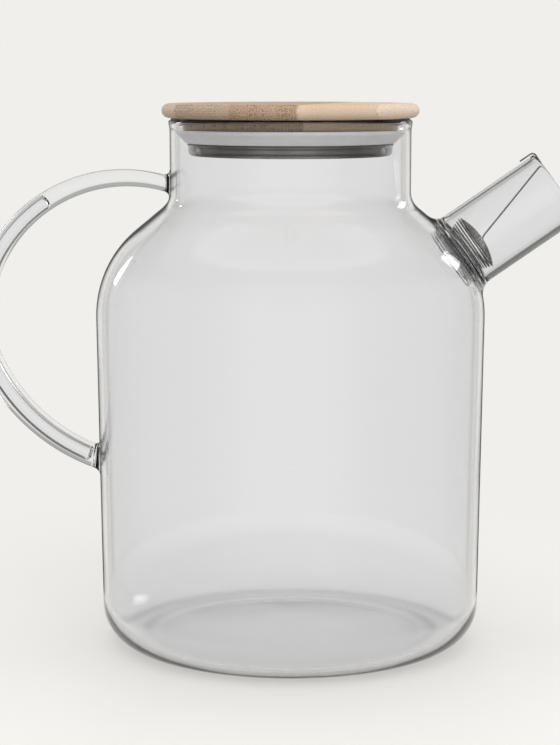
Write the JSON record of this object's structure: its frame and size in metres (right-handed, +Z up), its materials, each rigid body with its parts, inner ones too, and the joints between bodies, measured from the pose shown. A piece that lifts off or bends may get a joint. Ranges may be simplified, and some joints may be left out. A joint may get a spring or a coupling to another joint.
{
  "type": "lidded jug",
  "caption": "Clear glass jug with a tube spout, looped glass handle, press-in bamboo lid with a silicone seal, and a wire spring filter hooked over the spout's lip.",
  "frame": {"origin": "centre of the foot on the table, under the jug's own axis", "axes": "+Z up along the jug's axis, +X towards the spout, -X towards the handle, -Y towards the viewer of the picture"},
  "size_m": [0.201, 0.1286, 0.1794],
  "materials": {
    "clear_glass": "polished borosilicate glass, flame-welded joints",
    "spring_wire": "bright drawn stainless wire",
    "silicone": "milky translucent silicone",
    "pressed_steel": "satin pressed stainless sheet",
    "nail_steel": "bright small nail heads",
    "bamboo": "sanded and lightly oiled laminated bamboo"
  },
  "bodies": {
    "jug": {"vessel": "clear_glass", "spout": "clear_glass", "handle": "clear_glass"},
    "filter": {"spout_filter": "spring_wire"},
    "seal": {"lid_seal": "silicone"},
    "lid": {"lid_pan": "pressed_steel", "pan_nails": "nail_steel", "lid_strip_1": "bamboo", "lid_strip_2": "bamboo", "lid_strip_3": "bamboo", "lid_strip_4": "bamboo", "lid_strip_5": "bamboo"}
  },
  "joints": [
    {"name": "lid_lift", "type": "slide", "parent": "jug", "child": "seal", "axis": [0, 0, 1], "range_m": [0, 0.06]},
    {"name": "lid_turn", "type": "hinge", "parent": "seal", "child": "lid", "pos_m": [0, 0, 0.17], "axis": [0, 0, 1], "continuous": true},
    {"name": "filter_pull", "type": "slide", "parent": "jug", "child": "filter", "axis": [0.8221, 0, 0.5693], "range_m": [0, 0.045]}
  ]
}
